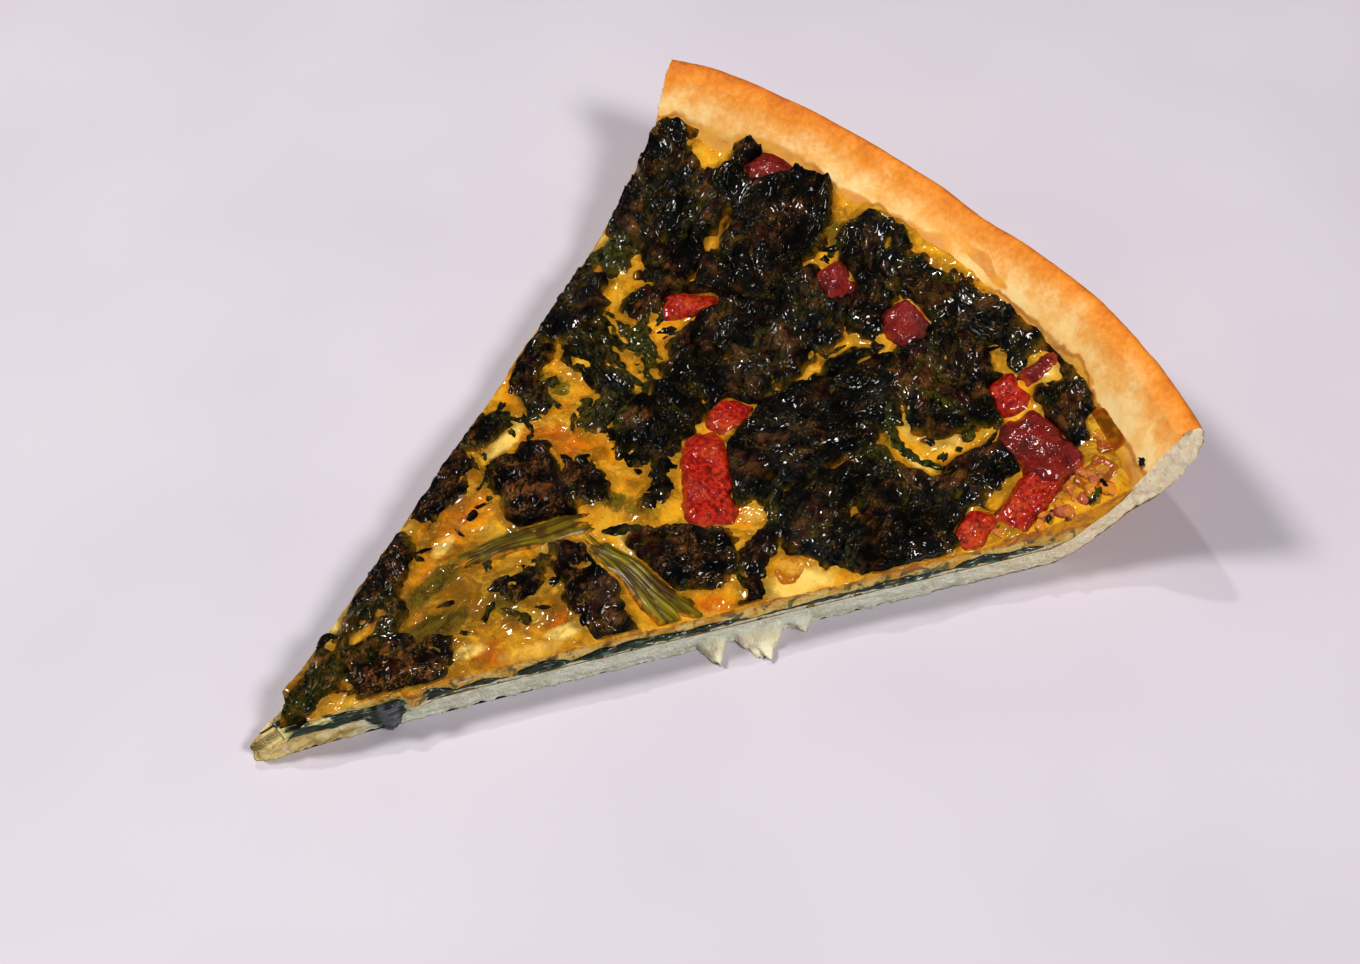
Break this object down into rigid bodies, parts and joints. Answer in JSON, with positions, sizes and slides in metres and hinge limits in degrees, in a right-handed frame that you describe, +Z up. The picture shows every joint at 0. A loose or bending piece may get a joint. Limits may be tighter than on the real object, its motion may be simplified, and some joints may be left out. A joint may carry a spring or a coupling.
{
  "type": "slice of spinach and bacon quiche",
  "caption": "Thin wedge of open savoury tart: pastry base with a raised rim, a leaf layer, set custard, and dark crinkled spinach and bacon on top.",
  "frame": {"origin": "bottom centre of the slice's bounding box, on the surface it rests on", "axes": "+X from the tip out to the rim, +Z up, +Y towards the left-hand cut seen from the tip"},
  "size_m": [0.1582, 0.1314, 0.029],
  "materials": {
    "pastry": "matt baked shortcrust, pale inside and orange-brown on the lip",
    "custard": "satin set egg custard, mottled yellow and orange-brown",
    "spinach": "glossy crinkled roasted leaves, near black with dark green",
    "bacon": "glossy deep red fried bacon",
    "stem": "satin fibrous olive green",
    "onion": "glossy amber cooked onion"
  },
  "bodies": {
    "root": {"pastry": "pastry", "spinach_layer": "spinach", "custard": "custard", "spinach_01": "spinach", "spinach_02": "spinach", "spinach_03": "spinach", "spinach_04": "spinach", "spinach_05": "spinach", "spinach_06": "spinach", "spinach_07": "spinach", "spinach_08": "spinach", "spinach_09": "spinach", "spinach_10": "spinach", "spinach_11": "spinach", "spinach_12": "spinach", "spinach_13": "spinach", "spinach_14": "spinach", "spinach_15": "spinach", "spinach_16": "spinach", "spinach_17": "spinach", "spinach_18": "spinach", "spinach_19": "spinach", "spinach_20": "spinach", "spinach_21": "spinach", "spinach_22": "spinach", "spinach_23": "spinach", "spinach_24": "spinach", "spinach_25": "spinach", "spinach_26": "spinach", "spinach_27": "spinach", "spinach_28": "spinach", "spinach_29": "spinach", "spinach_30": "spinach", "spinach_31": "spinach", "spinach_32": "spinach", "spinach_33": "spinach", "spinach_34": "spinach", "spinach_35": "spinach", "bacon_01": "bacon", "bacon_02": "bacon", "bacon_03": "bacon", "bacon_04": "bacon", "bacon_05": "bacon", "bacon_06": "bacon", "bacon_07": "bacon", "bacon_08": "bacon", "bacon_09": "bacon", "bacon_10": "bacon", "bacon_11": "bacon", "stem_01": "stem", "stem_02": "stem", "onion_01": "onion", "onion_02": "onion", "onion_03": "onion"}
  },
  "joints": []
}
